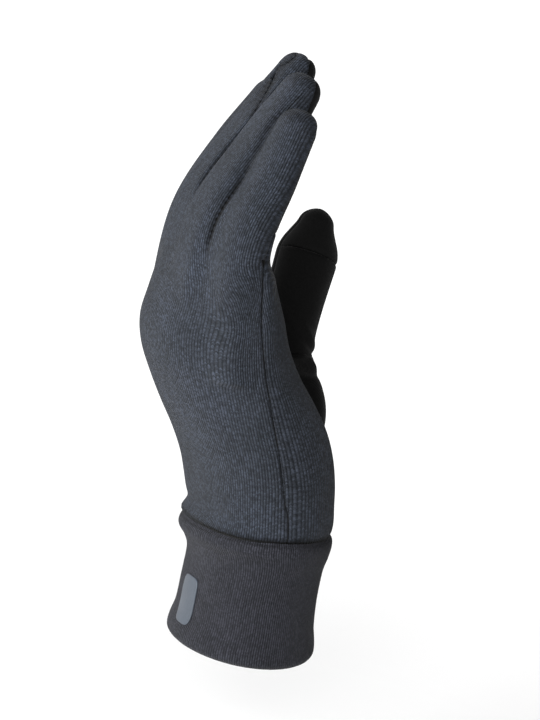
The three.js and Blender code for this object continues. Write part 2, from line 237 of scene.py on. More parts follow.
INDEX = DigitSize(
    "index",
    (-34.6, 30, 112),
    lengths=(46, 29, 21.6),
    lean=(7.0, 25.4, 31),
    splay=(0.5, -1, -2),
    breadth=(9.5, 10.3, 9.4, 8.1),
    flat=0.92,
    palm_edge=0.25,
    pressed=(2.0, 3.4),
)
MIDDLE = DigitSize(
    "middle",
    (-39.5, 10, 114),
    lengths=(50, 33, 24.7),
    lean=(6, 29.2, 30),
    splay=(0, 0, 0),
    breadth=(9.2, 9.9, 8.6, 7.6),
    flat=0.92,
    palm_edge=0.25,
    pressed=(3.4, 3.4),
)
RING = DigitSize(
    "ring",
    (-41, -10.5, 112),
    lengths=(47, 31, 23.6),
    lean=(2.6, 27.4, 29),
    splay=(-0.5, 0, 1),
    breadth=(9.2, 9.9, 9.3, 7.9),
    flat=0.92,
    palm_edge=0.3,
    pressed=(3.4, 3.4),
)
LITTLE = DigitSize(
    "little",
    (-31, -30, 107),
    lengths=(48, 25, 17.7),
    lean=(-4, 18.5, 18.5),
    splay=(-0.5, 2, 4),
    breadth=(10.0, 9.5, 8.2, 7.7),
    flat=0.94,
    palm_edge=0.75,
    pressed=(3.4, 2.0),
)
THUMB = DigitSize(
    "thumb",
    (8, 10, 50),
    lengths=(37, 25, 44, 9.1),
    lean=(18, -8, 14.3, 11),
    splay=(15, 25, 17, 5),
    breadth=(8, 12.6, 11.2, 12.9, 6.3),
    flat=0.86,
    across=(1.0, 0.0, 0.0),
    blunt=1.5,
)


# Forms

@dataclass
class Shape:
    """Points and faces of three or four corners, with values for each point that a cut carries along."""

    points: Array
    faces: Array
    values: dict[str, Array] = field(default_factory=dict)

    def normals(self) -> Array:
        """Works out the normal at each point, as the sum of its faces' normals.

        Returns:
            The normals, of length 1.
        """
        corners = self.points[self.faces]
        across = np.cross(corners[:, 1] - corners[:, 0], corners[:, -1] - corners[:, 0])
        total = np.zeros_like(self.points)
        for k in range(self.faces.shape[1]):
            for axis in range(3):
                total[:, axis] += np.bincount(self.faces[:, k], across[:, axis], len(self.points))
        return unit(total)

    def packed(self) -> "Shape":
        """Returns the shape without the points that no face uses."""
        used, faces = np.unique(self.faces, return_inverse=True)
        values = {name: value[used] for name, value in self.values.items()}
        return Shape(self.points[used], faces.reshape(self.faces.shape), values)

    def cut(self, level: Array) -> tuple["Shape", "Shape"]:
        """Cuts the triangles along the zero line of a value given for each point.

        A triangle that the line crosses has one point alone on its side. It gives the small triangle at that
        point and the quad on the other side, whose new corners are shared with the neighbouring triangles.

        Args:
            level: one value for each point.

        Returns:
            The shape where the value is above zero, and the rest.
        """
        tri = self.faces
        above = level > 0
        count = above[tri].sum(1)
        mixed = (count == 1) | (count == 2)
        cutting = tri[mixed]
        alone = above[cutting] == (count[mixed] == 1)[:, None]
        first = alone.argmax(1)
        a, b, c = (cutting[np.arange(len(cutting)), (first + k) % 3] for k in range(3))
        pairs = np.sort(np.concatenate([np.stack([a, b], 1), np.stack([a, c], 1)]), axis=1)
        edges, index = np.unique(pairs, axis=0, return_inverse=True)
        low, high = edges.T
        share = np.clip(level[low] / (level[low] - level[high]), 0.03, 0.97)[:, None]
        ab, ac = np.split(index.ravel() + len(self.points), 2)
        points = np.concatenate([self.points, self.points[low] * (1 - share) + self.points[high] * share])
        values = {}
        for name, value in self.values.items():
            t = share if value.ndim > 1 else share[:, 0]
            values[name] = np.concatenate([value, value[low] * (1 - t) + value[high] * t])
        tip = np.stack([a, ab, ac], 1)
        rest = np.concatenate([np.stack([ab, b, c], 1), np.stack([ab, c, ac], 1)])
        one = count[mixed] == 1
        both = np.concatenate([one, one])
        inside = np.concatenate([tri[count == 3], tip[one], rest[~both]])
        outside = np.concatenate([tri[count == 0], tip[~one], rest[both]])
        return Shape(points, inside, values).packed(), Shape(points, outside, values).packed()


def grid_faces(rows: int, columns: int, closed_rows: bool = False, closed_columns: bool = True) -> Array:
    """Works out the quads of a grid of points, row after row.

    Args:
        rows: how many rows.
        columns: how many points in a row.
        closed_rows: whether the last row joins the first.
        closed_columns: whether the last point of a row joins its first.

    Returns:
        The quads.
    """
    r = np.arange(rows if closed_rows else rows - 1)[:, None]
    c = np.arange(columns if closed_columns else columns - 1)[None, :]
    r1, c1 = (r + 1) % rows, (c + 1) % columns
    corners = [r * columns + c, r * columns + c1, r1 * columns + c1, r1 * columns + c]
    return np.stack([np.broadcast_to(x, (r.size, c.size)).ravel() for x in corners], 1)


def capped_tube(rings: Array) -> Shape:
    """Makes a closed body through rings of points, its ends closed by collapsed rings at their middles.

    Args:
        rings: the points, in an array of shape (rings, sides, 3).

    Returns:
        The body.
    """
    ends = [np.broadcast_to(rings[k].mean(0), rings[k].shape) for k in (0, -1)]
    whole = np.concatenate([ends[0][None], rings, ends[1][None]])
    count, sides = whole.shape[:2]
    return Shape(whole.reshape(-1, 3), grid_faces(count, sides))


class Digit:
    """A finger or the thumb: a smooth centre line with a round-ended tube around it."""

    FINE = 24  # centre-line points for each bone
    PRESS = 0.055  # how much a pressed side stands out for each unit of its section's power over 2

    def __init__(self, size: DigitSize) -> None:
        """Works out the centre line through the joints, as a centripetal Catmull-Rom curve.

        Args:
            size: the digit's sizes.
        """
        self.size = size
        lean, splay = (np.tan(np.radians(x)) for x in (size.lean, size.splay))
        bones = unit(np.stack([lean, splay, np.ones(len(lean))], 1)) * np.array(size.lengths)[:, None]
        joints = np.concatenate([[size.root], np.array(size.root) + np.cumsum(bones, 0)])
        line = self._curve(joints)
        step = np.linalg.norm(np.diff(line, axis=0), axis=1)
        self.station = np.concatenate([[0.0], np.cumsum(step)])
        self.span = float(self.station[-1])
        self.line = line
        self.tangent = unit(np.gradient(line, self.station, axis=0))
        reach = np.concatenate([[0.0], np.cumsum(size.lengths)])
        self.stops = reach / reach[-1] * self.span

    @staticmethod
    def _curve(joints: Array) -> Array:
        """Works out the curve: on each stretch a cubic, whose end slopes weigh the chords by √length.

        Args:
            joints: the joints, from the root to the last.

        Returns:
            Its points.
        """
        ends = [2 * joints[0] - joints[1], 2 * joints[-1] - joints[-2]]
        p = np.concatenate([[ends[0]], joints, [ends[1]]])
        out = []
        for i in range(1, len(p) - 2):
            x0, x1, x2, x3 = p[i - 1 : i + 3]
            d0, d1, d2 = (math.sqrt(np.linalg.norm(b - a)) for a, b in ((x0, x1), (x1, x2), (x2, x3)))
            m1 = ((x1 - x0) / d0 - (x2 - x0) / (d0 + d1) + (x2 - x1) / d1) * d1
            m2 = ((x2 - x1) / d1 - (x3 - x1) / (d1 + d2) + (x3 - x2) / d2) * d1
            t = np.arange(Digit.FINE)[:, None] / Digit.FINE
            out.append(x1 + m1 * t + (3 * (x2 - x1) - 2 * m1 - m2) * t**2 + (2 * (x1 - x2) + m1 + m2) * t**3)
        return np.concatenate([*out, joints[-1:]])

    def frame(self, distance: Array) -> tuple[Array, Array, Array, Array, Array]:
        """Works out the digit's axes at distances along it, which run straight on beyond both ends.

        Args:
            distance: the distances from the root.

        Returns:
            The place, direction, across, pad and half breadth at each.
        """
        held = np.clip(distance, 0.0, self.span)
        along = unit(np.stack([np.interp(held, self.station, self.tangent[:, k]) for k in range(3)], -1))
        at = np.stack([np.interp(held, self.station, self.line[:, k]) for k in range(3)], -1)
        at = at + along * (distance - held)[..., None]
        across = np.array(self.size.across)
        across = unit(across - along * (along @ across)[..., None])
        pad = np.cross(across, along)
        spread = np.linspace(-5.0, 5.0, 5)[:, None]
        half = np.interp(held + spread, self.stops, self.size.breadth).mean(0)
        return at, along, across, pad, half

    def tube(self, rows: int = 90, sides: int = 72) -> Shape:
        """Returns the digit's surface, with a blunt round tip.

        A section is |a/wide|^n + |p/deep|^n = 1. Its power n is over 2 on a side that another finger presses
        on, and comes back to 2 at the tip.

        Args:
            rows: how many sections it has up to the tip.
            sides: how many points a section has.

        Returns:
            The closed surface.
        """
        distance = np.linspace(0.0, self.span, rows)
        tip = float(self.frame(np.array([self.span]))[4][0]) * self.size.flat
        angle = np.radians(np.linspace(5.0, 88.0, 16))
        distance = np.concatenate([distance, self.span + tip * np.sin(angle)])
        shrink = np.concatenate([np.ones(rows), np.cos(angle) ** self.size.blunt])
        at, _, across, pad, half = self.frame(distance)
        turn = np.linspace(0.0, 2 * np.pi, sides, endpoint=False)
        near, away = self.size.pressed
        power = np.where(np.cos(turn) > 0, near, away)[None] - 2.0
        power = 2.0 + power * (1 - smooth(distance, self.span - 16.0, self.span + 2.0))[:, None]
        press = 1.0 + self.PRESS * (power - 2.0)
        wide = (half * shrink)[:, None] * press * signed_power(np.cos(turn)[None], 2 / power)
        deep = (half * self.size.flat * shrink)[:, None] * signed_power(np.sin(turn)[None], 2 / power)
        return capped_tube(at[:, None] + wide[..., None] * across[:, None] + deep[..., None] * pad[:, None])

    def locate(self, points: Array) -> dict[str, Array]:
        """Finds points from the centre line.

        Args:
            points: the points.

        Returns:
            By name: s along it, a across, p to the pad, the half breadth there, and ratio, 1 on the surface.
        """
        s = np.interp(points[:, 2], self.line[:, 2], self.station)
        for _ in range(4):
            at, along, across, pad, half = self.frame(s)
            s = s + ((points - at) * along).sum(1)
        at, along, across, pad, half = self.frame(s)
        a, p = ((points - at) * across).sum(1), ((points - at) * pad).sum(1)
        ratio = np.hypot(a / half, p / (half * self.size.flat))
        beyond = np.maximum(s - self.span, 0.0) / half
        return {"s": s, "a": a, "p": p, "half": half, "ratio": np.hypot(ratio, beyond)}


def hand_section(rows: dict[str, Array], turn: Array, offset: float = 0.0) -> Array:
    """Works out level sections of the hand.

    With side = sin θ, the back stands at back + drop·side² and the palm at palm + its two swellings. X goes
    from one to the other by |cos θ|^0.85, and Y is wide·|side|^0.92.

    Args:
        rows: the hand table's columns at each level.
        turn: the angles θ of the points.
        offset: how far the section is grown.

    Returns:
        Points of shape (levels, angles, 3).
    """
    side = np.sin(turn)[None, :]
    column = {name: value[:, None] for name, value in rows.items()}
    drop = np.where(side < 0, column["drop_little"], column["drop_thumb"]) * side**2
    back = column["back"] + drop - offset
    pad, ball = bump(side, PAD_SIDE, SWELL_HALF), bump(side, BALL_SIDE, SWELL_HALF)
    palm = column["palm"] + (column["pad"] * pad + column["ball"] * ball) + offset
    x = (back + palm) / 2 + (palm - back) / 2 * signed_power(np.cos(turn)[None, :], HAND_ROUND)
    y = (column["wide"] + offset) * signed_power(side, HAND_SIDE)
    return np.stack([x, y, np.broadcast_to(column["z"], x.shape)], -1)


# Blender helpers

def make_object(name: str, shape: Shape, uv: Array | None = None) -> bpy.types.Object:
    """Makes a smooth-shaded mesh object from a shape in millimetres.

    Args:
        name: the object's name.
        shape: its points and faces.
        uv: cloth coordinates of each point, in millimetres, if it has them.

    Returns:
        The object, linked to the scene.
    """
    mesh = bpy.data.meshes.new(name)
    mesh.vertices.add(len(shape.points))
    mesh.vertices.foreach_set("co", (shape.points * MM).astype(np.float32).ravel())
    count, corners = shape.faces.shape
    mesh.loops.add(count * corners)
    mesh.loops.foreach_set("vertex_index", shape.faces.astype(np.int32).ravel())
    mesh.polygons.add(count)
    mesh.polygons.foreach_set("loop_start", np.arange(0, count * corners, corners, dtype=np.int32))
    mesh.update(calc_edges=True)
    mesh.validate()
    mesh.polygons.foreach_set("use_smooth", np.ones(len(mesh.polygons), bool))
    if uv is not None:
        layer = mesh.uv_layers.new(name="Cloth")
        index = np.zeros(len(mesh.loops), np.int32)
        mesh.loops.foreach_get("vertex_index", index)
        layer.data.foreach_set("uv", (uv[index] * MM).astype(np.float32).ravel())
    made = bpy.data.objects.new(name, mesh)
    bpy.context.scene.collection.objects.link(made)
    return made


def fused(shapes: list[Shape], voxel: float) -> Shape:
    """Joins overlapping closed shapes into one skin of quads, by a voxel remesh.

    Args:
        shapes: the shapes, in millimetres.
        voxel: the voxel's size, in millimetres.

    Returns:
        The skin.
    """
    starts = np.cumsum([0] + [len(s.points) for s in shapes[:-1]])
    points = np.concatenate([s.points for s in shapes])
    faces = np.concatenate([s.faces + start for s, start in zip(shapes, starts)])
    rough = make_object("rough_form", Shape(points, faces))
    remesh = rough.modifiers.new("Remesh", "REMESH")
    remesh.mode = "VOXEL"
    remesh.voxel_size = voxel * MM
    remesh.adaptivity = 0.0
    evaluated = rough.evaluated_get(bpy.context.evaluated_depsgraph_get())
    mesh = evaluated.to_mesh()
    points = np.zeros(len(mesh.vertices) * 3, np.float32)
    mesh.vertices.foreach_get("co", points)
    mesh.calc_loop_triangles()
    faces = np.zeros(len(mesh.loop_triangles) * 3, np.int32)
    mesh.loop_triangles.foreach_get("vertices", faces)
    evaluated.to_mesh_clear()
    rough_mesh = rough.data
    bpy.data.objects.remove(rough)
    bpy.data.meshes.remove(rough_mesh)
    return Shape(points.reshape(-1, 3).astype(float) / MM, faces.reshape(-1, 3))


def relaxed(shape: Shape, weight: Array, rounds: int, only_out: bool = False) -> Shape:
    """Smooths a shape, as each point moves towards the middle of its neighbours.

    Args:
        shape: the shape, in triangles.
        weight: for each point, the share of the way that it moves in a round.
        rounds: how many rounds are made.
        only_out: whether a point never moves inwards, so that the cloth is drawn tight across its hollows.

    Returns:
        The smoothed shape.
    """
    faces = shape.faces
    sides = np.concatenate([faces[:, [0, 1]], faces[:, [1, 2]], faces[:, [2, 0]]])
    edges = np.unique(np.sort(sides, axis=1), axis=0)
    a, b = edges.T
    count = np.bincount(edges.ravel(), minlength=len(shape.points))[:, None]
    points = shape.points.copy()
    for _ in range(rounds):
        total = [np.bincount(a, p[b], len(p)) + np.bincount(b, p[a], len(p)) for p in points.T]
        move = np.stack(total, 1) / count - points
        if only_out:
            normal = Shape(points, faces).normals()
            move -= np.minimum((move * normal).sum(1), 0.0)[:, None] * normal
        points += weight[:, None] * move
    return Shape(points, faces, shape.values)


def linear(code: str) -> tuple[float, float, float, float]:
    """Returns the linear RGBA colour of an sRGB code such as "484b52"."""
    parts = [int(code[i : i + 2], 16) / 255 for i in (0, 2, 4)]
    return (*(c / 12.92 if c <= 0.04045 else ((c + 0.055) / 1.055) ** 2.4 for c in parts), 1.0)


class NodeTree:
    """A shader's node tree, with one function that adds a node and its links."""

    def __init__(self, tree: bpy.types.NodeTree) -> None:
        """Keeps the tree and its nodes."""
        self.tree, self.nodes = tree, tree.nodes

    def add(
        self, kind: str, settings: dict[str, object] | str | None = None, *inputs: object, **sockets: object
    ) -> bpy.types.Node:
        """Adds a node.

        Args:
            kind: its type.
            settings: the node's own properties, or its operation's name. The property stops holds a colour
                ramp's places and sRGB codes.
            *inputs: for each input in order, a value, a node or a node's output.
            **sockets: the same by the input's name, or as i6 by its place.

        Returns:
            The node.
        """
        node = self.nodes.new(kind)
        settings = {"operation": settings} if isinstance(settings, str) else dict(settings or {})
        for k, (place, code) in enumerate(settings.pop("stops", [])):
            element = node.color_ramp.elements[k] if k < 2 else node.color_ramp.elements.new(place)
            element.position, element.color = place, linear(code)
        for name, value in settings.items():
            setattr(node, name, value)
        for k, value in enumerate(inputs):
            self.feed(node, k, value)
        for name, value in sockets.items():
            key = int(name[1:]) if name[0] == "i" and name[1:].isdigit() else name.replace("_", " ")
            self.feed(node, key, value)
        return node

    def feed(self, node: bpy.types.Node, key: str | int, value: object) -> None:
        """Sets or links one input of a node.

        Args:
            node: the node.
            key: the input's name or place.
            value: a value, a node or a node's output.
        """
        if isinstance(value, bpy.types.Node):
            value = value.outputs[0]
        if isinstance(value, bpy.types.NodeSocket):
            self.tree.links.new(value, node.inputs[key])
        else:
            node.inputs[key].default_value = value


class Material(NodeTree):
    """A material's node tree, with a Principled shader at its output."""

    def __init__(self, name: str) -> None:
        """Makes the material, its tree empty but for the shader and the output.

        Args:
            name: the material's name.
        """
        self.data = bpy.data.materials.new(name)
        self.data.use_nodes = True
        super().__init__(self.data.node_tree)
        self.nodes.clear()
        self.shader = self.add("ShaderNodeBsdfPrincipled")
        self.add("ShaderNodeOutputMaterial", Surface=self.shader)


@dataclass(frozen=True)
class KnitFinish:
    """A weft-knit cloth: upright wales of V-shaped stitches, each of a slightly different yarn tone."""

    name: str
    tones: tuple[str, str, str]  # sRGB codes of the darkest, middle and lightest yarn
    wale: float = 0.95  # width of one wale, mm: a real one is finer, and too fine to show in the render
    course: float = 0.55  # height of one stitch, mm, in proportion to the wale
    relief: float = 0.32  # height of the wales, mm
    # painted shade: the colour is darkened in the gaps between wales by this share
    groove: float = 0.62  # how dark the gaps between wales are, 0 to 1
    sheen: float = 0.04
    # painted shade: how much the seam_shade attribute darkens the knit, at seams, creases, fingertips and the
    # cuff's top edge
    painted_shade_strength: float = 0.72  # how much darker the bottom of a seam is
    stitch: float = 2.0  # pitch of the seam's stitches, mm
    roughness: float = 0.85
    sheen_roughness: float = 0.45
    specular: float = 0.12
    leg_dip: float = 0.12  # how much lower a wale is between its stitches, as a share of its height
    fleck_across: float = 1.9  # flecks of yarn across a wale
    fleck_along: float = 1.1  # flecks along a stitch
    stitch_share: float = 0.34  # how much of the tone comes from the stitch
    fleck_share: float = 0.5  # how much comes from the flecks
    slow_share: float = 0.3  # how much comes from the slow changes
    slow_scale: float = 38.0  # slow changes in a metre

    def make(self) -> bpy.types.Material:
        """Makes the material: heathered stitches in colour and relief, over slow changes of tone, with
        painted shade in the gaps between wales and along seams.

        With t from −½ to ½ across a wale, its height is cos(πt), and the legs of its stitches lean by |t|, so
        that each row of them makes a V. Each stitch has a random tone, mixed with a fleck of the yarn.

        Returns:
            The material.
        """
        m = Material(self.name)
        place = m.add("ShaderNodeSeparateXYZ", Vector=m.add("ShaderNodeUVMap", {"uv_map": "Cloth"}))
        u = m.add(MATH, "DIVIDE", place.outputs["X"], self.wale * MM)
        v = m.add(MATH, "DIVIDE", place.outputs["Y"], self.course * MM)
        t = m.add(MATH, "SUBTRACT", m.add(MATH, "FRACT", u), 0.5)
        away = m.add(MATH, "MULTIPLY", m.add(MATH, "ABSOLUTE", t), 2.0)
        rib = m.add(MATH, "COSINE", m.add(MATH, "MULTIPLY", t, math.pi))
        leg = m.add(MATH, "SINE", m.add(MATH, "MULTIPLY", m.add(MATH, "ADD", v, away), 2 * math.pi))
        loop = m.add(MATH, "MULTIPLY_ADD", leg, self.leg_dip, 1.0 - self.leg_dip)
        height = m.add(MATH, "MULTIPLY", rib, loop)
        row = m.add(MATH, "FLOOR", m.add(MATH, "ADD", v, away))
        cell = m.add("ShaderNodeCombineXYZ", X=m.add(MATH, "FLOOR", u), Y=row)
        stitch = m.add("ShaderNodeTexWhiteNoise", {"noise_dimensions": "2D"}, Vector=cell)
        wide = m.add(MATH, "MULTIPLY", u, self.fleck_across)
        high = m.add(MATH, "MULTIPLY", v, self.fleck_along)
        stretched = m.add("ShaderNodeCombineXYZ", X=wide, Y=high)
        flat = {"noise_dimensions": "2D"}
        fleck = m.add("ShaderNodeTexNoise", flat, Vector=stretched, Scale=1.0, Detail=2.0)
        coords = m.add("ShaderNodeTexCoord")
        slow = m.add("ShaderNodeTexNoise", Vector=coords.outputs["Object"], Scale=self.slow_scale, Detail=3.0)
        own = m.add(MATH, "MULTIPLY", stitch.outputs["Value"], self.stitch_share)
        tone = m.add(MATH, "ADD", own, m.add(MATH, "MULTIPLY", fleck, self.fleck_share))
        drift = m.add(MATH, "MULTIPLY_ADD", slow, self.slow_share, -self.slow_share / 4)
        tone = m.add(MATH, "ADD", tone, drift)
        dark, middle, light = self.tones
        yarn = m.add("ShaderNodeValToRGB", {"stops": [(0.1, dark), (0.9, light), (0.5, middle)]}, tone)
        # painted shade in the gaps between wales, from the wales' height
        shade = m.add(MATH, "MULTIPLY_ADD", height, self.groove, 1.0 - self.groove)
        stitches = m.add(MATH, "DIVIDE", place.outputs["Y"], self.stitch * MM / (2 * math.pi))
        beat = m.add(MATH, "SINE", stitches)
        # painted shade from the mesh (seams, creases, fingertips, cuff edge), beaded at the stitch pitch for
        # the seams' dark stitches
        seam = m.add("ShaderNodeAttribute", {"attribute_name": "seam_shade"}).outputs["Fac"]
        seam = m.add(MATH, "MULTIPLY", seam, m.add(MATH, "MULTIPLY_ADD", beat, 0.22, 0.9))
        shade = m.add(MATH, "MULTIPLY", shade, m.add(MATH, "MULTIPLY_ADD", seam, -self.painted_shade_strength, 1.0))
        grey = m.add("ShaderNodeCombineColor", None, shade, shade, shade)
        blend = {"data_type": "RGBA", "blend_type": "MULTIPLY"}
        colour = m.add("ShaderNodeMix", blend, 1.0, i6=yarn, i7=grey)
        m.feed(m.shader, "Base Color", colour.outputs[2])
        relief = m.add("ShaderNodeBump", Height=height, Distance=self.relief * MM, Strength=0.9)
        m.feed(m.shader, "Normal", relief)
        m.feed(m.shader, "Roughness", self.roughness)
        m.feed(m.shader, "Sheen Weight", self.sheen)
        m.feed(m.shader, "Sheen Roughness", self.sheen_roughness)
        m.feed(m.shader, "Specular IOR Level", self.specular)
        return m.data


@dataclass(frozen=True)
class PrintFinish:
    """Reflective transfer film: a grey ground with a fine net of tiny glass beads."""

    name: str = "reflective_film"
    tones: tuple[str, str, str] = ("373d45", "3e454e", "474e58")  # darkest, middle and lightest
    bead: float = 0.45  # pitch of the beads, mm: real ones are finer, and too fine to show in the render
    relief: float = 0.05  # height of the beads, mm
    roughness: float = 0.42
    metallic: float = 0.15

    def make(self) -> bpy.types.Material:
        """Makes the material: cells give the beads' relief and a slight change of tone.

        Returns:
            The material.
        """
        m = Material(self.name)
        coords = m.add("ShaderNodeTexCoord")
        beads = m.add("ShaderNodeTexVoronoi", Vector=coords.outputs["Object"], Scale=1 / (self.bead * MM))
        slow = m.add("ShaderNodeTexNoise", Vector=coords.outputs["Object"], Scale=120.0, Detail=3.0)
        drift = m.add(MATH, "MULTIPLY", slow, 0.5)
        tone = m.add(MATH, "MULTIPLY_ADD", beads.outputs["Distance"], 0.35, drift)
        dark, middle, light = self.tones
        film = m.add("ShaderNodeValToRGB", {"stops": [(0.15, light), (0.8, dark), (0.45, middle)]}, tone)
        height = beads.outputs["Distance"]
        m.feed(m.shader, "Base Color", film)
        relief = m.add("ShaderNodeBump", Height=height, Distance=self.relief * MM, Strength=0.3)
        m.feed(m.shader, "Normal", relief)
        m.feed(m.shader, "Roughness", self.roughness)
        m.feed(m.shader, "Metallic", self.metallic)
        return m.data


def dress(piece: bpy.types.Object, material: bpy.types.Material, slot: Slot, *nodes: str) -> None:
    """Gives a piece its material and body, and lets it stand for its CAD nodes.

    Args:
        piece: the piece.
        material: its material.
        slot: its material slot; not used.
        *nodes: the CAD nodes that it replaces.
    """
    piece.data.materials.append(material)
    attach(piece, ROOT)
    if nodes:
        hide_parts(*nodes)
    log.info("%s: %d faces", piece.name, len(piece.data.polygons))


# The sewn skin

@dataclass(frozen=True)
class Crease:
    """The crease between two fingers."""

    near: str
    far: str
    low: float  # the distances along the far finger between which it is strong
    high: float
    beyond: float  # its strength past them
    aside: float  # how far it lies to the near finger's side


@dataclass(frozen=True)
class Swell:
    """A smooth ridge round the wrist, or a dip where its height is below zero."""

    high: float
    level: float  # distance above the cuff's foot
    half: float

    def at(self, level: Array) -> Array:
        """Returns its height at levels."""
        return self.high * bump(level, self.level, self.half)


@dataclass(frozen=True)
class SkinSize:
    """How finely the skin is made, and the depth and width of its sewn grooves."""

    voxel: float = 0.85
    seam_depth: float = 0.5
    seam_half: float = 0.7
    seam_gap: float = 0.12
    # the dark line along a seam is painted shade in its groove, with the stitches' dark thread
    seam_shade: float = 0.55  # half width of the dark line along a seam
    soft_seam: float = 0.6  # how much weaker the thumb stall's first seam is pressed in
    flat_seam: float = 0.3  # how much weaker the flat seam beside the side panel is
    hand_wide: float = 38.0  # half axes of the oval that the hand's wales are counted round
    hand_deep: float = 20.0
    crease_depth: float = 0.9  # depth of the crease between two fingers
    crease_half: float = 1.3  # half width of the pressed crease
    # painted shade line at the bottom of a crease
    crease_shade_half: float = 1.2  # half width of the dark line at its bottom
    creases: tuple[Crease, ...] = (
        Crease("index", "middle", 60.0, 80.0, 0.3, 1.7),
        Crease("middle", "ring", 60.0, 96.0, 0.9, 3.4),
        Crease("ring", "little", 49.0, 54.0, 0.45, 1.7),
    )
    roll: Swell = Swell(2.4, 48.4, 1.7)  # the cloth pushed up above the cuff, on the back
    ring: Swell = Swell(0.9, 49.4, 2.2)  # the same on the palm's side
    dip: Swell = Swell(0.5, 53.0, 2.2)  # the dip above the roll
    tucked: tuple[float, float] = (47.8, 49.6)  # levels between which the shade inside the cuff ends
    tucked_shade: float = 1.3
    folds: tuple[tuple[float, float], ...] = ((74.0, 0.55), (62.0, 0.45))  # place along the thumb, and height
    fold_slant: float = 0.75
    fold_half: float = 2.4
    fold_dip: float = -4.2  # where the dip beside a fold is
    fold_dip_half: float = 2.0
    fold_dip_share: float = 1.1  # its depth as a share of the fold's height
    front_from: float = 27.0  # distance along a finger where its black front begins
    little_late: float = 12.0  # how much later the little finger's front closes
    stall_half: float = 17.0  # half width of the thumb's stall
    stall_side: float = -14.0  # the stall's far side
    # strength of the painted shade on the ring and little fingertips
    tip_shade: float = 0.5


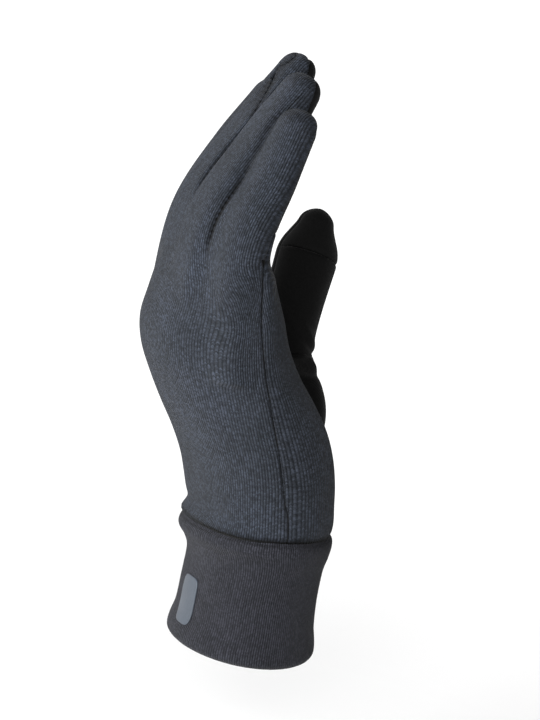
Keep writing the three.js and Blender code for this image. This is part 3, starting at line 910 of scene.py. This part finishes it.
class Skin:
    """The knit skin of the whole glove: one form, pressed in along its seams and cut into panels."""

    def __init__(
        self, size: SkinSize, grey: bpy.types.Material, black: bpy.types.Material, touch: bpy.types.Material
    ) -> None:
        """Makes the form and the digits that its seams follow.

        Args:
            size: its sizes.
            grey: the back's knit.
            black: the palm's jersey.
            touch: the touch tip's jersey.
        """
        self.size = size
        self.grey, self.black, self.touch = grey, black, touch
        self.fingers = [Digit(x) for x in (INDEX, MIDDLE, RING, LITTLE)]
        self.thumb = Digit(THUMB)
        self.shape = self._form()
        self.found = {d.size.name: d.locate(self.shape.points) for d in [*self.fingers, self.thumb]}
        # self.crease is the strength of the painted shade line in each crease
        pressed, self.crease = self.grooves()
        normals = self.shape.normals()
        self.shape.points = self.shape.points - normals * self.size.crease_depth * pressed[:, None]
        self.shape.points = self.shape.points + self.shape.normals() * self.thumb_folds()[:, None]

    def _form(self) -> Shape:
        """Fuses the hand, the web and the digits, and smooths them where the fingers grow out of the hand.

        Returns:
            The whole skin.
        """
        turn = np.linspace(0.0, 2 * np.pi, 220, endpoint=False)
        hand = capped_tube(hand_section(HAND.curve(150), turn))
        rows = THUMB_WEB.curve(60)
        ring = np.stack([np.cos(turn), np.sin(turn)], -1)[None]
        middle = np.stack([rows["x"], rows["y"]], -1)[:, None]
        axes = np.stack([rows["deep"], rows["wide"]], -1)[:, None]
        height = np.broadcast_to(rows["z"][:, None, None], (len(middle), len(turn), 1))
        web = np.concatenate([middle + ring * axes, height], -1)
        tubes = [d.tube() for d in [*self.fingers, self.thumb]]
        skin = fused([hand, capped_tube(web), *tubes], self.size.voxel)
        log.info("fused skin: %d points", len(skin.points))
        x, y, z = skin.points.T
        knuckles = smooth(z, 96.0, 112.0) * (1 - smooth(z, 158.0, 176.0))
        root = smooth(z, 52.0, 64.0) * (1 - smooth(z, 104.0, 118.0)) * smooth(y, -8.0, 6.0)
        skin = relaxed(skin, 0.7 * np.clip(knuckles + root, 0, 1), 140, only_out=True)
        fingers = smooth(z, 158.0, 176.0)
        skin = relaxed(skin, 0.6 * fingers, 12, only_out=True)
        skin.points = skin.points + skin.normals() * self._rolls(skin.points)[:, None]
        return relaxed(skin, np.full(len(skin.points), 0.5), 3)

    def _rolls(self, points: Array) -> Array:
        """Works out how far the cloth pushed up above the cuff stands out, less the dip above it.

        Args:
            points: the skin's points.

        Returns:
            The distances.
        """
        x, y, z = points.T
        level = z + CUFF_TILT * y
        back = smooth(-x, 6.0, 20.0)
        front = smooth(-x, -10.0, 4.0)
        size = self.size
        return size.roll.at(level) * back + size.ring.at(level) * front - size.dip.at(level) * back

    def _nearest_finger(self, points_found: list[dict[str, Array]]) -> Array:
        """Returns for each point the place of the finger whose surface is nearest."""
        return np.argmin([f["ratio"] for f in points_found], axis=0)

    def fields(self) -> dict[str, Array]:
        """Works out the value above zero inside each panel's cut, in millimetres from its seam.

        Returns:
            The values by name: side, stall, front, touch, palm and the three strips.
        """
        x, y, z = self.shape.points.T
        strip = SIDE_STRIP.level(z)
        side = np.minimum.reduce([x - strip["back"], strip["palm"] - x, strip["inner"] - y, STRIP_TOP - z])
        line = MID_LINE.level(z)
        low, middle, high = MID_PLACES
        share = np.where(y < middle, (y - low) / (middle - low), (high - y) / (high - middle))
        end = np.where(y < middle, line["little"], line["thumb"])
        seam = end + (line["middle"] - end) * np.clip(share, 0, 1)
        palm = np.minimum(x - seam, PALM_TOP - z)
        strips = []
        for digit in self.fingers:
            f = self.found[digit.size.name]
            late = self.size.little_late if digit.size is LITTLE else 0.0
            width = self._taper(digit, f["s"] - late, digit.size.palm_edge * f["half"])
            side_room = 1.06 * f["half"] - np.abs(f["a"]) + 3.0
            front = np.minimum.reduce([f["p"] - width, f["s"] - self.size.front_from, side_room])
            palm = np.maximum(palm, np.where(f["ratio"] < 1.25, front, OUTSIDE))
        for near, far in zip(self.fingers[:-1], self.fingers[1:]):
            a, b = self.found[near.size.name], self.found[far.size.name]
            one = self._strip(near, a, -1.0)
            two = self._strip(far, b, 1.0)
            middle_x = (near.frame(np.array([36.0]))[0][0] + far.frame(np.array([36.0]))[0][0]) / 2
            between = np.minimum(self._inside(y, far.line[0, 1], near.line[0, 1]), self._inside(z, *CROTCH))
            crotch = np.minimum(FOURCHETTE_HALF - np.abs(x - middle_x[0]), between)
            strips.append(np.maximum.reduce([one, two, crotch]))
        t = self.found["thumb"]
        stall = np.minimum(t["s"] - THUMB_SEAM, self.size.stall_half - np.abs(t["p"]))
        stall = np.where((t["ratio"] < 1.35) & (t["a"] > self.size.stall_side), stall, OUTSIDE)
        touch = t["s"] - TOUCH_SEAM
        fields = {"side": side, "palm": palm, "strips": np.array(strips)}
        return {**fields, "stall": stall, "front": t["p"], "touch": touch}

    @staticmethod
    def _inside(value: Array, low: float, high: float) -> Array:
        """Returns how far values are inside a range, below zero outside it."""
        return np.minimum(value - low, high - value)

    @staticmethod
    def _taper(digit: Digit, s: Array, half: Array | float) -> Array:
        """Returns a width that closes to nothing just beyond the fingertip."""
        return half * np.clip((digit.span + 9.0 - s) / 16.0, 0.02, 1.0)

    def _strip(self, digit: Digit, found: dict[str, Array], side: float) -> Array:
        """Works out how far points are inside the strip on one side of a finger.

        Args:
            digit: the finger.
            found: the points, as it locates them.
            side: 1 for its thumb's side, -1 for the other.

        Returns:
            The distances, below zero outside the strip.
        """
        late = STRIP_SHIFT * smooth(found["s"], 60.0, 90.0) if digit.size is MIDDLE and side < 0 else 0.0
        width = self._taper(digit, found["s"] - 2 * np.abs(late), FOURCHETTE_HALF + np.abs(late) / 2)
        beyond = found["s"] - FOURCHETTE_FROM
        level = np.minimum.reduce([width - np.abs(found["p"] - late), found["a"] * side, beyond])
        return np.where(found["ratio"] < 1.2, level, OUTSIDE)

    def grooves(self) -> tuple[Array, Array]:
        """Works out the creases between the fingers.

        A crease lies near where two neighbours' surfaces are equally near. It is deep and darkened by painted
        shade up the side of the middle finger and at the crotch beside the little one.

        Returns:
            How strongly each point is pressed in, and how dark the painted shade line at the bottom is, both
            from 0 to 1.
        """
        pressed = np.zeros(len(self.shape.points))
        line = pressed.copy()
        for crease in self.size.creases:
            a, b = self.found[crease.near], self.found[crease.far]
            apart = (a["ratio"] - b["ratio"]) * 9.0
            reach = 1 - smooth(np.maximum(a["ratio"], b["ratio"]), 1.6, 2.1)
            s = b["s"]
            fading = 1 - (1 - crease.beyond) * smooth(s, crease.high, crease.high + 25.0)
            strong = smooth(s, crease.low - 9.0, crease.low) * fading
            pressed = np.maximum(pressed, bump(apart, -crease.aside, self.size.crease_half) * reach * strong)
            # painted shade line along the crease's bottom
            line = np.maximum(line, bump(apart, -crease.aside, self.size.crease_shade_half) * reach * strong)
        return pressed, line

    def thumb_folds(self) -> Array:
        """Works out the slanting folds at the thumb's root, with a dip beside each.

        Returns:
            How far each point stands out.
        """
        t = self.found["thumb"]
        near = (1 - smooth(t["ratio"], 1.3, 1.7)) * smooth(t["s"], 30.0, 42.0)
        total = np.zeros(len(self.shape.points))
        size = self.size
        for start, high in size.folds:
            along = t["s"] - (start - size.fold_slant * t["a"])
            dip = size.fold_dip_share * bump(along, size.fold_dip, size.fold_dip_half)
            total += high * (bump(along, 0.0, size.fold_half) - dip) * near
        return total

    def _tip_shade(self) -> Array:
        """Works out the painted shade on the tops of the ring and little fingertips, under the fingertip
        above each.

        Returns:
            How dark each point is, from 0 to 1.
        """
        total = np.zeros(len(self.shape.points))
        for digit in self.fingers[2:]:
            f = self.found[digit.size.name]
            near = (1 - smooth(f["ratio"], 1.1, 1.3)) * smooth(-f["p"], -2.0, 4.0)
            total = np.maximum(total, self.size.tip_shade * bump(f["s"], digit.span + 4.0, 3.0) * near)
        return total

    def seam_distance(self, values: dict[str, Array]) -> Array:
        """Works out how far points are from the nearest seam.

        Args:
            values: the values that the points carry.

        Returns:
            The distances.
        """
        on_thumb = values["stall"] > 0
        strips = np.abs(values["strips"])
        # the seam of the strip between the ring and little fingers fades out up the ring finger, with its
        # groove and painted shade
        strips[:, 2] += 3.0 * values["worn"]
        far = np.full(len(strips), 9.0)
        covered = (values["side"] > 0) | (values["strips"].max(1) > 0) | on_thumb
        lines = [
            np.where(on_thumb, far, np.abs(values["side"]) + self.size.flat_seam),
            np.where(on_thumb, far, strips.min(1)),
            np.abs(np.maximum(values["stall"], -8.0)) + self.size.soft_seam,
            np.where(on_thumb, np.abs(values["front"]), far),
            np.where(on_thumb & (values["front"] > -0.01), np.abs(values["touch"]), far),
            np.where(covered, far, np.abs(values["palm"])),
        ]
        return np.minimum.reduce(lines)

    def cloth_coordinates(self) -> Array:
        """Works out each point's place on the knit.

        On the hand U is the way round an even oval from the middle of the back, and V the height. Up a finger
        they turn into the way across its back and down its side, and the distance along it.

        Returns:
            U across the wales and V along them, in millimetres.
        """
        x, y, z = self.shape.points.T
        rows = HAND.level(z)
        side = signed_power(np.clip(y / rows["wide"], -1, 1), 1 / HAND_SIDE)
        drop = np.where(side < 0, rows["drop_little"], rows["drop_thumb"]) * side**2
        pad, ball = bump(side, PAD_SIDE, SWELL_HALF), bump(side, BALL_SIDE, SWELL_HALF)
        back, palm = rows["back"] + drop, rows["palm"] + (rows["pad"] * pad + rows["ball"] * ball)
        up = signed_power(np.clip((2 * x - back - palm) / (palm - back), -1, 1), 1 / HAND_ROUND)
        turn = np.arctan2(np.abs(side), -up)
        angle = np.linspace(0.0, np.pi, 181)
        step = np.hypot(self.size.hand_wide * np.cos(angle), self.size.hand_deep * np.sin(angle))
        arc = np.cumsum(step) * np.pi / 180
        u = np.sign(y) * np.interp(turn, angle, arc - arc[0])
        v = z.copy()
        found = [self.found[d.size.name] for d in self.fingers]
        pick = self._nearest_finger(found)
        for k, digit in enumerate(self.fingers):
            f = found[k]
            w = smooth(f["s"], 16.0, 44.0) * (pick == k) * (1 - smooth(f["ratio"], 1.3, 1.7))
            down = np.maximum(f["p"] + f["half"] * digit.size.flat, 0.0) * smooth(f["s"], 8.0, 26.0)
            across = digit.line[0, 1] + f["a"] + 0.75 * np.sign(f["a"]) * down
            u = u + w * (across - u)
            v = v + w * (digit.size.root[2] + f["s"] - v)
        t = self.found["thumb"]
        w = smooth(t["s"], THUMB_SEAM - 12, THUMB_SEAM) * (t["ratio"] < 1.35)
        u = u + w * (t["half"] * np.arctan2(t["a"], t["p"]) - u)
        v = v + w * (t["s"] - v)
        return np.stack([u, v], 1)

    def build(self) -> None:
        """Cuts the skin into its panels and dresses each."""
        fields = self.fields()
        values = {"uv": self.cloth_coordinates(), "strips": fields["strips"].T.copy()}
        values["normal"] = self.shape.normals()
        # strength of the painted shade line in each crease
        values["crease"] = self.crease
        ring = self.found["ring"]
        # painted shade on the ring and little fingertips
        values["tips"] = self._tip_shade()
        # where that strip's seam, groove and painted shade fade out up the ring finger
        values["worn"] = smooth(ring["s"], 66.0, 78.0) * (1 - smooth(ring["ratio"], 1.1, 1.3))
        for name in ("side", "palm", "stall", "front", "touch"):
            values[name] = fields[name]
        whole = Shape(self.shape.points, self.shape.faces, values)
        whole, _ = whole.cut(whole.points[:, 2] - SKIN_FOOT)
        stall, hand = self.part(whole, "stall")
        front, back = self.part(stall, "front")
        touch, front = self.part(front, "touch")
        side, rest = self.part(hand, "side")
        self.panel("side_panel", side, self.grey, Slot.GREY)
        names = ("fourchette_index_middle", "fourchette_middle_ring", "fourchette_ring_little")
        for k, name in enumerate(names):
            strip, rest = self.part(rest, "strips", k)
            self.panel(name, strip, self.grey, Slot.GREY)
        palm, rest = self.part(rest, "palm")
        self.panel("palm_panel", palm, self.black, Slot.BLACK)
        self.panel("back_panel", rest, self.grey, Slot.GREY)
        self.panel("thumb_back", back, self.black, Slot.BLACK)
        self.panel("thumb_front", front, self.black, Slot.BLACK)
        self.panel("thumb_touch_tip", touch, self.touch, Slot.TOUCH)

    def part(self, shape: Shape, name: str, column: int | None = None) -> tuple[Shape, Shape]:
        """Parts a shape along a seam, half the seam's gap to each side.

        Args:
            shape: the shape.
            name: the field that is above zero inside the panel.
            column: the field's column, where it has several.

        Returns:
            The panel, and the rest.
        """
        level = shape.values[name] if column is None else shape.values[name][:, column]
        half = self.size.seam_gap / 2
        return shape.cut(level - half)[0], shape.cut(level + half)[1]

    def panel(self, name: str, shape: Shape, material: bpy.types.Material, slot: Slot) -> None:
        """Makes a panel of the knit's thickness, and lets it stand for its CAD node.

        Args:
            name: the CAD node's name.
            shape: the panel's outer face.
            material: its cloth.
            slot: its material slot.
        """
        distance = self.seam_distance(shape.values)
        depth = self.size.seam_depth * bump(distance, 0.0, self.size.seam_half)
        shape.points = shape.points - unit(shape.values["normal"]) * depth[:, None]
        piece = make_object(f"{name}_knit", shape, shape.values["uv"])
        # painted shade stored as seam_shade: seam grooves, finger creases, the ring and little fingertips,
        # and the skin just inside the cuff's top edge
        shade = piece.data.attributes.new("seam_shade", "FLOAT", "POINT")
        level = shape.points[:, 2] + CUFF_TILT * shape.points[:, 1]
        # painted shade where the skin goes in under the cuff's top edge
        tucked = self.size.tucked_shade * (1 - smooth(level, *self.size.tucked))
        seam = bump(distance, 0.0, self.size.seam_shade)
        dark = np.maximum.reduce([shape.values["tips"], seam, 1.5 * shape.values["crease"], tucked])
        shade.data.foreach_set("value", dark.astype(np.float32))
        wall = piece.modifiers.new("Wall", "SOLIDIFY")
        wall.thickness = KNIT * MM
        wall.offset = -1.0
        dress(piece, material, slot, name)


# The cuff

@dataclass(frozen=True)
class CuffSize:
    """Sizes of the turned-up cuff beyond its table: the mouth, the room round the wrist and the fold."""

    mouth_thick: float = 20.4
    mouth_wide: float = 27.8
    hem_depth: float = 5.0
    mouth_low: float = 0.6  # height where the mouth's straight wall begins
    mean_radius: float = 29.5  # radius that the wales are counted at
    wrist_gap: float = 0.45
    fold: float = 1.6
    inner_from: float = 8.0


@dataclass(frozen=True)
class BarSize:
    """Sizes of the plain bar on the cuff's back."""

    wide: float = 11.0
    low: float = 8.0  # heights of its ends
    high: float = 26.0
    thick: float = 0.5
    clear: float = 0.12  # how far its back stands off the cuff
    middle: float = -177.0  # where it stands round the cuff, in degrees
    power: float = 5.0  # power of the oblong's outline


class Cuff:
    """The double cuff: a closed band from the mouth round the hem, up the outside and down to the wrist."""

    SIDES = 256

    def __init__(self, size: CuffSize, knit: bpy.types.Material, film: bpy.types.Material) -> None:
        """Keeps the sizes and materials."""
        self.size, self.knit, self.film = size, knit, film
        self.turn = np.linspace(0.0, 2 * np.pi, self.SIDES, endpoint=False)

    def _ellipses(self, rows: dict[str, Array], turn: Array) -> Array:
        """Works out the cuff's outer ellipses.

        Args:
            rows: the cuff table's columns at each level.
            turn: the angles of the points.

        Returns:
            Points of shape (levels, angles, 3).
        """
        c = {name: value[:, None] for name, value in rows.items()}
        y = c["wide"] * np.sin(turn)[None]
        return np.stack([c["x"] + c["thick"] * np.cos(turn)[None], y, c["z"] - c["tilt"] * y], -1)

    def band(self) -> Shape:
        """Makes the closed band.

        Returns:
            The band, with uv as its value: U runs round it and V along its outline.
        """
        size = self.size
        rows = CUFF.curve(110)
        outer = self._ellipses(rows, self.turn)
        top = {name: value[-1:] for name, value in rows.items()}
        fold = self._ellipses(top, self.turn)[0]
        wrist_z = np.linspace(43.0, size.inner_from, 30)
        wrist = hand_section(HAND.level(wrist_z), self.turn, size.wrist_gap)
        wrist[..., 2] -= CUFF_TILT * wrist[..., 1] * smooth(wrist_z, 30.0, 43.0)[:, None]
        angle = np.radians(np.linspace(15.0, 90.0, 6))[:, None, None]
        over = fold + (wrist[0] - fold) * (1 - np.cos(angle))
        over[..., 2] += size.fold * (np.sin(2 * angle[..., 0]))
        mouth_z = np.linspace(size.hem_depth, size.mouth_low, 8)[:, None]
        mouth_x = size.mouth_thick * np.cos(self.turn)
        mouth = np.stack(np.broadcast_arrays(mouth_x, size.mouth_wide * np.sin(self.turn), mouth_z), -1)
        rings = np.concatenate([outer, over, wrist[1:], mouth])
        step = np.linalg.norm(np.diff(rings, axis=0), axis=-1).mean(1)
        v = np.concatenate([[0.0], np.cumsum(step)])
        u = np.broadcast_to(self.turn * size.mean_radius, rings.shape[:2])
        uv = np.stack([u, np.broadcast_to(v[:, None], u.shape)], -1).reshape(-1, 2)
        faces = grid_faces(len(rings), self.SIDES, closed_rows=True)
        return Shape(rings.reshape(-1, 3), faces, {"uv": uv})

    def build(self) -> None:
        """Makes and dresses the cuff and its bar."""
        band = self.band()
        dress(make_object("cuff_knit_band", band, band.values["uv"]), self.knit, Slot.CUFF, "cuff")
        dress(self.bar(), self.film, Slot.PRINT, "cuff_print")

    def bar(self, size: BarSize = BarSize()) -> bpy.types.Object:
        """Makes the plain bar: a rounded oblong of film, |a|^5 + |b|^5 = 1, on the cuff's outer face.

        Args:
            size: its sizes.

        Returns:
            The bar.
        """
        turn = np.linspace(0.0, 2 * np.pi, 96, endpoint=False)
        rim = (np.abs(np.cos(turn)) ** size.power + np.abs(np.sin(turn)) ** size.power) ** (-1 / size.power)
        reach = np.array([0.0, 0.25, 0.5, 0.7, 0.85, 0.94, 0.985, 1.0, 1.0])[:, None]
        lift = np.array([1, 1, 1, 1, 1, 1, 0.93, 0.75, 0.0])[:, None] * size.thick + size.clear
        a = reach * rim * np.cos(turn) * size.wide / 2
        z = (size.low + size.high) / 2 + reach * rim * np.sin(turn) * (size.high - size.low) / 2
        rows = CUFF.level(z.ravel())
        shape = z.shape
        r = {name: value.reshape(shape) for name, value in rows.items()}
        angle = math.radians(size.middle) + a / r["wide"]
        y = (r["wide"] + lift) * np.sin(angle)
        points = np.stack([r["x"] + (r["thick"] + lift) * np.cos(angle), y, z - r["tilt"] * y], -1)
        faces = grid_faces(len(reach), len(turn))[:, ::-1]
        return make_object("cuff_bar_film", Shape(points.reshape(-1, 3), faces))


# Studio

@dataclass(frozen=True)
class View:
    """The photograph's view: where the camera stands, and where in the picture the origin lies."""

    azimuth: float = -26.0
    elevation: float = 10.0
    roll: float = 8.2
    distance: float = 700.0  # mm
    lens: float = 92.0  # mm
    film: float = 36.0  # the sensor's long side, mm
    picture: tuple[int, int] = (540, 720)
    origin_pixel: tuple[int, int] = (240, 640)  # where the cuff's mouth centre shows


@dataclass(frozen=True)
class Lamp:
    """A square soft light that faces the glove, placed from the camera's view, in millimetres."""

    name: str
    side: float  # how far it stands to the camera's right
    up: float  # how far above the glove's middle
    near: float  # how far towards the camera
    size: float  # the square's side
    power: float  # in watts


@dataclass(frozen=True)
class Room:
    """The studio's floor and walls."""

    floor: float = -62.0  # the floor's height, mm
    half: float = 3000.0  # its half side, mm
    glow: float = 0.18  # how much it shines, so that it comes out pale all over
    fade: tuple[float, float] = (0.12, 0.5)  # distances in metres between which it fades out
    dim: float = 0.04  # strength of the walls on the dim side
    bright: float = 1.2  # and on the bright side
    turn: float = 0.6  # how far across the room the one goes over into the other
    middle: tuple[float, float, float] = (-10.0, 0.0, 115.0)  # the glove's middle, mm
    lamps: tuple[Lamp, ...] = (
        Lamp("key", -900.0, 200.0, 700.0, 700.0, 15.0),
        Lamp("front", -100.0, 100.0, 1100.0, 600.0, 13.0),
    )


class Studio:
    """Camera, floor, pale surroundings and soft lights."""

    def __init__(self, view: View, room: Room) -> None:
        """Keeps the view and the room, and works out the view's axes.

        Args:
            view: the photograph's view.
            room: the floor, the walls and the lights.
        """
        self.view, self.room = view, room
        a, e, r = (math.radians(x) for x in (view.azimuth, view.elevation, view.roll))
        self.back = np.array([math.sin(a) * math.cos(e), -math.cos(a) * math.cos(e), math.sin(e)])
        right = unit(np.cross([0.0, 0.0, 1.0], self.back))
        up = np.cross(self.back, right)
        self.right = right * math.cos(r) + up * math.sin(r)
        self.up = -right * math.sin(r) + up * math.cos(r)

    def camera(self) -> None:
        """Makes the camera, so placed that the origin falls on its pixel."""
        view = self.view
        wide, high = view.picture
        scale = view.distance / (view.lens / view.film * high)
        dx = (view.origin_pixel[0] - wide / 2) * scale
        dy = -(view.origin_pixel[1] - high / 2) * scale
        place = (self.back * view.distance - self.right * dx - self.up * dy) * MM
        data = bpy.data.cameras.new("photo_view")
        data.lens, data.sensor_width = view.lens, view.film
        data.clip_start, data.clip_end = 0.01, 20.0
        camera = bpy.data.objects.new("photo_view", data)
        axes = np.stack([self.right, self.up, self.back], 1)
        camera.matrix_world = Matrix.Translation(place) @ Matrix(axes.tolist()).to_4x4()
        bpy.context.scene.collection.objects.link(camera)
        bpy.context.scene.camera = camera

    def floor(self) -> None:
        """Makes the plain pale floor under the glove."""
        half, height = self.room.half, self.room.floor
        corners = [(-half, -half), (half, -half), (half, half), (-half, half)]
        points = np.array([(x, y, height) for x, y in corners])
        floor = make_object("studio_floor", Shape(points, np.array([[0, 1, 2, 3]])))
        m = Material("pale_floor")
        m.feed(m.shader, "Base Color", linear(WHITE))
        m.feed(m.shader, "Roughness", 0.9)
        m.feed(m.shader, "Emission Color", linear(WHITE))
        m.feed(m.shader, "Emission Strength", self.room.glow)
        coords = m.add("ShaderNodeTexCoord")
        away = m.add("ShaderNodeVectorMath", "LENGTH", coords.outputs["Object"]).outputs["Value"]
        near, far = self.room.fade
        m.feed(m.shader, "Alpha", m.add("ShaderNodeMapRange", None, away, near, far, 1.0, 0.0))
        floor.data.materials.append(m.data)

    def light(self, lamp: Lamp) -> None:
        """Makes one of the room's lights.

        Args:
            lamp: its place, size and power.
        """
        middle = np.array(self.room.middle)
        place = middle + self.right * lamp.side + self.up * lamp.up + self.back * lamp.near
        data = bpy.data.lights.new(lamp.name, "AREA")
        data.size, data.energy = lamp.size * MM, lamp.power
        light = bpy.data.objects.new(lamp.name, data)
        z = unit(place - middle)
        x = unit(np.cross([0.0, 0.0, 1.0], z))
        axes = np.stack([x, np.cross(z, x), z], 1)
        light.matrix_world = Matrix.Translation(place * MM) @ Matrix(axes.tolist()).to_4x4()
        bpy.context.scene.collection.objects.link(light)

    def surroundings(self) -> None:
        """Makes the studio's walls: bright behind the glove and on the camera's left, dimmer on its right."""
        world = bpy.data.worlds.new("pale_studio")
        world.use_nodes = True
        tree = NodeTree(world.node_tree)
        towards = unit(-0.75 * self.right - 0.6 * self.back - 0.25 * self.up)
        coords = tree.add("ShaderNodeTexCoord").outputs["Generated"]
        dot = tree.add("ShaderNodeVectorMath", "DOT_PRODUCT", coords, towards).outputs["Value"]
        room = self.room
        settings = {"interpolation_type": "SMOOTHSTEP"}
        reach = tree.add("ShaderNodeMapRange", settings, dot, -room.turn, room.turn, room.dim, room.bright)
        background = tree.nodes["Background"]
        tree.feed(background, "Strength", reach)
        tree.feed(background, "Color", linear(WHITE))
        bpy.context.scene.world = world

    def build(self) -> None:
        """Makes the whole studio."""
        self.camera()
        self.floor()
        self.surroundings()
        bpy.context.scene.view_settings.view_transform = "Standard"
        for lamp in self.room.lamps:
            self.light(lamp)


def main() -> None:
    """Builds the glove piece by piece, then the studio."""
    logging.basicConfig(level=logging.INFO, format="%(message)s")
    Studio(View(), Room()).build()
    grey = KnitFinish("heathered_grey_knit", ("14171b", "2f333a", "4a515f")).make()
    smooth_face = {"relief": 0.08, "groove": 0.2}
    black_tones = ("0b0b0b", "101010", "151515")
    black = KnitFinish("smooth_black_jersey", black_tones, 0.55, 0.45, **smooth_face).make()
    fine_face = {"relief": 0.06, "groove": 0.15}
    touch_tones = ("0f0f0f", "151515", "1c1c1c")
    touch = KnitFinish("touch_tip_jersey", touch_tones, 0.5, 0.42, **fine_face).make()
    cuff = KnitFinish("cuff_rib_knit", ("151619", "2c2d33", "42434c")).make()
    film = PrintFinish().make()
    Skin(SkinSize(), grey, black, touch).build()
    Cuff(CuffSize(), cuff, film).build()


if __name__ == "__main__":
    main()
